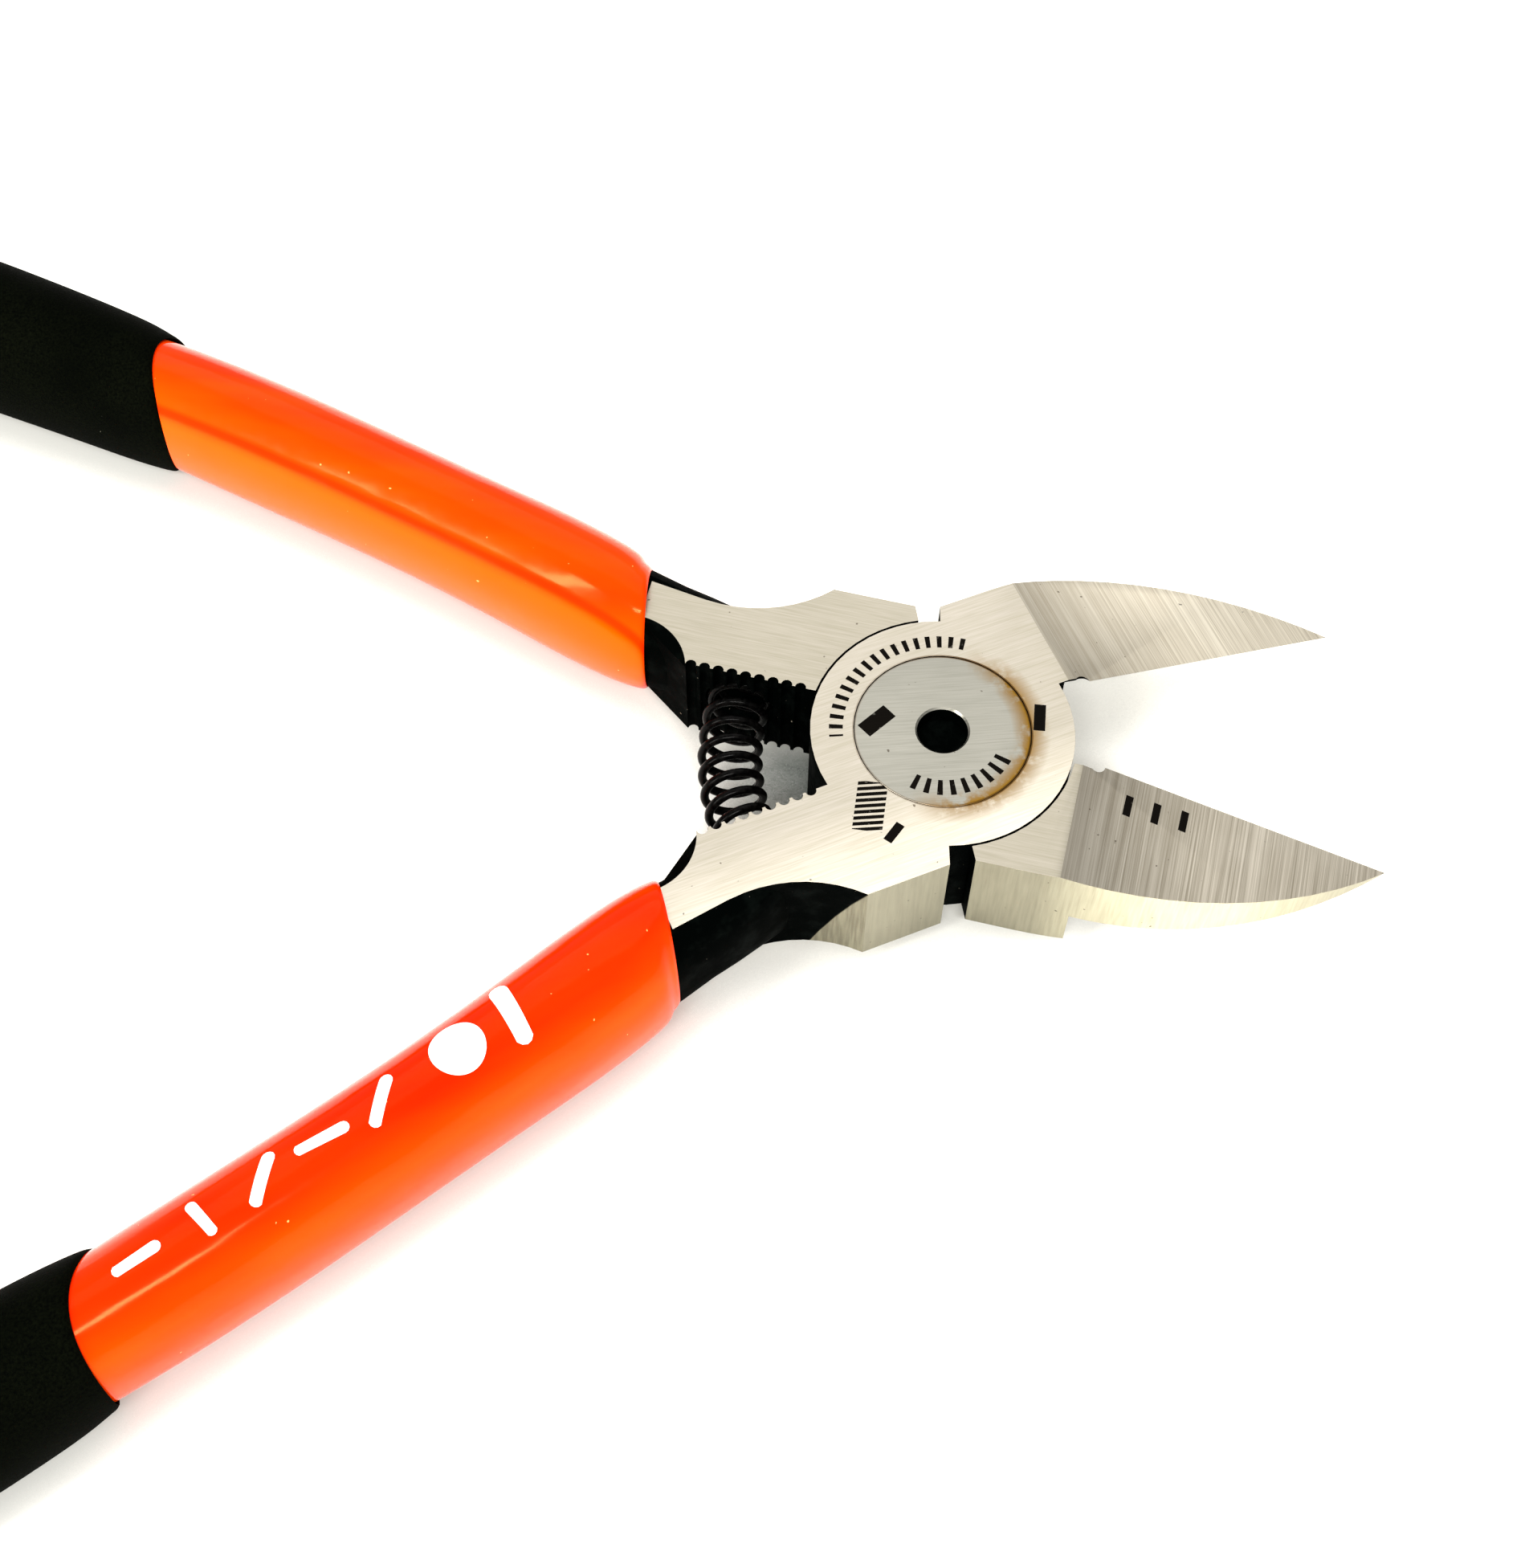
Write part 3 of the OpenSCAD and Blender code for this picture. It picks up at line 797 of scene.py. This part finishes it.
def pull_sides(piece, x, width, reach, side):
    """Pulls the sides of the first rings forward, so that the rim is curved seen from above."""
    edit(piece)
    mesh = bmesh.from_edit_mesh(piece.data)
    mesh.verts.ensure_lookup_table()
    levels = {}
    for point in mesh.verts:
        if point.co.x / MM > -x - MOUTH_DEPTH:
            level = round(abs(point.co.y / MM - side * handle_y(-point.co.x / MM)), 2)
            levels.setdefault(level, set()).add(point.index)
    for level in sorted(levels):
        shift = reach * min(level / width, 1) ** 2
        mesh = bmesh.from_edit_mesh(piece.data)
        for point in mesh.verts:
            point.select_set(point.index in levels[level])
        bmesh.update_edit_mesh(piece.data)
        drop = side * (handle_y(x - shift) - handle_y(x))
        bpy.ops.transform.translate(value=(shift * MM, drop * MM, 0))
    leave()


# rows of distance behind the pivot, half width and half height
SLEEVE_OUTER = [
    (SLEEVE_MOUTH, 3.62, 4.72), (21.3, 3.78, 4.9), (21.7, 3.9, 5.05), (22.6, 4.05, 5.25),
    (24.2, 4.17, 5.5), (26.2, 4.2, 5.6), (28.7, 4.2, 5.6), (32.2, 4.05, 5.5), (37.2, 3.95, 5.4),
    (42.5, 3.95, 5.38), (48, 4.0, 5.4), (53, 4.03, 5.35), (57.5, 4.0, 5.2), (64.3, 3.8, 4.8),
    (72.3, 3.7, 4.7), (82, 3.65, 4.65), (92, 3.6, 4.6), (101, 3.45, 4.5), (109.3, 3.3, 4.4),
    (114.3, 2.8, 3.9), (116.5, 1.9, 2.7), (117.2, 0.9, 1.4)]
SLEEVE_INNER = [
    (21.25, 3.38, 4.42), (21.5, 3.32, 4.32), (26.2, 3.2, 4.2), (38, 2.9, 3.9), (52, 2.6, 3.6),
    (72, 2.4, 3.3), (92, 2.3, 3.1), (108.3, 2.1, 2.9), (111.3, 1.8, 2.5), (112.4, 1.1, 1.6)]
GRIP_OUTER = [
    (GRIP_MOUTH, 4.28, 5.22), (60.45, 4.45, 5.4), (60.9, 4.57, 5.52), (62.3, 4.68, 5.6),
    (65.2, 4.85, 5.6), (68.3, 5.0, 5.6), (75.3, 5.28, 5.6), (81, 5.35, 5.6), (86.3, 5.35, 5.6),
    (92.5, 5.25, 5.6), (98.3, 5.1, 5.6), (103.5, 4.9, 5.6), (108.3, 4.7, 5.6), (112.5, 4.5, 5.58),
    (115.3, 4.25, 5.45), (117.2, 3.85, 5.0), (118.6, 3.3, 4.3), (119.6, 2.5, 3.3),
    (120.15, 1.5, 2.1), (120.3, 0.8, 1.2)]
GRIP_INNER = [
    (60.35, 4.1, 5.12), (64.3, 3.9, 4.9), (72.3, 3.8, 4.8), (82, 3.75, 4.75), (92, 3.7, 4.7),
    (101, 3.55, 4.6), (109.3, 3.4, 4.5), (114.3, 2.9, 4.0), (116.6, 2.0, 2.8), (117.35, 1.0, 1.5)]


def smoothed(piece):
    """Rounds a skin off with two levels of subdivision."""
    modify(piece, "SUBSURF", levels=2, render_levels=2)
    take(piece)
    bpy.ops.object.shade_smooth()
    return piece


def sleeve(name, side):
    piece = loft(name, SLEEVE_OUTER, SLEEVE_INNER, side, SLEEVE_SQUARE)
    lean_mouth(piece, SLEEVE_MOUTH, SLEEVE_LEAN, side)
    return smoothed(piece)


def grip(name, side):
    piece = loft(name, GRIP_OUTER, GRIP_INNER, side, GRIP_SQUARE)
    pull_sides(piece, GRIP_MOUTH, GRIP_HALF_WIDTH, GRIP_RIM_REACH, side)
    lean_mouth(piece, GRIP_MOUTH, GRIP_LEAN, side)
    return smoothed(piece)


def with_half(piece, turn):
    """Turns a piece that was modelled closed to where its half lies."""
    piece.rotation_euler = (0, 0, turn)
    settle(piece)
    clean(piece)
    return piece


# ---------- printed marks ----------


# distance behind the pivot, length, width and slant in degrees; a dot is as long as it is wide
PRINT_MARKS = [
    (32.2, 4.4, 1.2, 98), (35.8, 3.4, 3.4, 0), (40.9, 3.4, 0.8, 60), (44.7, 3.4, 0.75, 8),
    (48.5, 3.4, 0.8, 60), (52.3, 2.6, 0.7, 112), (56.2, 3.0, 0.75, 14)]


def white_marks(on, turn):
    """A plain dot and a row of slanted dashes printed on the front sleeve."""
    made = []
    for x, length, width, slant in PRINT_MARKS:
        at = (-x * MM, -(handle_y(x) - PRINT_INWARD) * MM, PRINT_START_Z * MM)
        dot = length == width
        bpy.ops.mesh.primitive_circle_add(vertices=48 if dot else 12, radius=width / 2 * MM,
                                          fill_type="NGON", location=at)
        mark = bpy.context.active_object
        settle(mark)
        edit(mark)
        if not dot:
            # half of the disc is drawn out into a rounded dash
            pick_points(mark, lambda p: p.x > at[0] - 1e-7)
            bpy.ops.transform.translate(value=((length - width) * MM, 0, 0))
        bpy.ops.mesh.select_all(action="SELECT")
        bpy.ops.transform.rotate(value=-math.radians(slant), orient_axis="Z", center_override=at)
        if not dot:
            back, lean = (length - width) / 2 * MM, math.radians(slant)
            bpy.ops.transform.translate(value=(-back * math.cos(lean), -back * math.sin(lean), 0))
        # a fine grid, so that the mark can follow the sleeve
        for i in range(-8, 9):
            bpy.ops.mesh.select_all(action="SELECT")
            bpy.ops.mesh.bisect(plane_co=(at[0] + PRINT_GRID * i * MM, 0, 0), plane_no=(1, 0, 0))
            bpy.ops.mesh.select_all(action="SELECT")
            bpy.ops.mesh.bisect(plane_co=(0, at[1] + PRINT_GRID * i * MM, 0), plane_no=(0, 1, 0))
        leave()
        made.append(mark)
    bpy.ops.object.select_all(action="DESELECT")
    for mark in made:
        mark.select_set(True)
    bpy.context.view_layer.objects.active = made[0]
    bpy.ops.object.join()
    piece = bpy.context.active_object
    piece.name = piece.data.name = "white_print"
    piece.rotation_euler = (0, 0, turn)
    settle(piece)
    take(piece)
    lay = piece.modifiers.new("Lay", "SHRINKWRAP")
    lay.target = on
    lay.wrap_method = "PROJECT"
    lay.use_project_z = True
    lay.use_negative_direction = True
    lay.use_positive_direction = False
    lay.offset = PRINT_LIFT * MM
    bpy.ops.object.modifier_apply(modifier=lay.name)
    modify(piece, "SOLIDIFY", thickness=PRINT_THICK * MM, offset=-1)
    clean(piece)
    return piece


# ---------- the assembly ----------

front = steel_half("front_half", "front_steel", HALF_OPEN, 1)
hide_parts("front_half")
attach(front, "front_body")

back = steel_half("back_half", "back_steel", -HALF_OPEN, -1)
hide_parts("back_half")
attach(back, "back_body")

pin = rivet()
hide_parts("pivot_rivet")
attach(pin, "back_body")

coil = return_spring()
coil.data.materials.append(spring_wire("spring_wire"))
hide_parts("return_spring")
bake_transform(coil)

rubber = soft_black("soft_grip_black")
for body, side, turn in (("front", -1, HALF_OPEN), ("back", 1, -HALF_OPEN)):
    dipped = with_half(sleeve(body + "_dipped_sleeve", side), turn)
    # painted shade and light: the front sleeve's top is painted a deeper red, and the back one's outer
    # edge is painted more yellow; both are the same vinyl
    red, far = (0.016, 0.0) if body == "front" else (0.040, 0.6)
    dipped.data.materials.append(vinyl(body + "_vinyl", turn, red, far))
    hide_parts(body + "_sleeve")
    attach(dipped, body + "_body")
    if body == "front":
        marks = white_marks(dipped, turn)
        marks.data.materials.append(print_white("white_print"))
        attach(marks, "front_body")
    soft = with_half(grip(body + "_soft_grip", side), turn)
    soft.data.materials.append(rubber)
    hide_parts(body + "_grip")
    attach(soft, body + "_body")


# ---------- stage ----------

bpy.ops.mesh.primitive_plane_add(size=3.0, location=(0, 0, -0.02 * MM))
floor = bpy.context.active_object
floor.name = "floor"
floor.data.materials.append(pale_floor("pale_floor"))


def softbox(name, place, aim, width, length, watts, colour):
    """A rectangular lamp that faces aim. Places and sizes are in metres."""
    lamp = bpy.data.lights.new(name, "AREA")
    lamp.shape = "RECTANGLE"
    lamp.size, lamp.size_y = width, length
    lamp.energy = watts
    lamp.color = colour
    held = bpy.data.objects.new(name, lamp)
    bpy.context.scene.collection.objects.link(held)
    held.location = place
    held.rotation_euler = (Vector(aim) - Vector(place)).to_track_quat("-Z", "Y").to_euler()


# a broad ceiling panel for the ground faces, and two narrow ones for the lines on the vinyl
softbox("ceiling", (0.1, 0.75, 1.25), (0, 0, 0), 1.8, 1.5, 12, (1.0, 0.985, 0.95))
softbox("tube", (-0.04, -0.50, 0.74), (-0.02, 0, 0), 0.55, 0.09, 9.5, (1.0, 0.98, 0.94))
softbox("strip", (-0.63, -0.345, 0.44), (-0.06, -0.035, 0), 0.07, 0.42, 5.5, (1.0, 0.97, 0.90))

world = bpy.data.worlds.new("studio")
world.use_nodes = True
world.node_tree.nodes["Background"].inputs["Color"].default_value = rgb(1.0, 0.99, 0.965)
world.node_tree.nodes["Background"].inputs["Strength"].default_value = 0.55
bpy.context.scene.world = world
bpy.context.scene.view_settings.view_transform = "Standard"

lens = bpy.data.cameras.new("camera")
lens.sensor_fit = "HORIZONTAL"
lens.sensor_width = 36
lens.lens = 51.8
lens.clip_start = 0.01
camera = bpy.data.objects.new("camera", lens)
bpy.context.scene.collection.objects.link(camera)
heading, tilt, roll = math.radians(-4.83), math.radians(30.9), math.radians(0.67)
camera.matrix_world = (
    Matrix.Translation((-0.0177, -0.0743, 0.12875))
    @ Matrix.Rotation(heading, 4, "Z")
    @ Matrix.Rotation(tilt, 4, "X")
    @ Matrix.Rotation(roll, 4, "Z")
)
bpy.context.scene.camera = camera

bpy.context.view_layer.update()
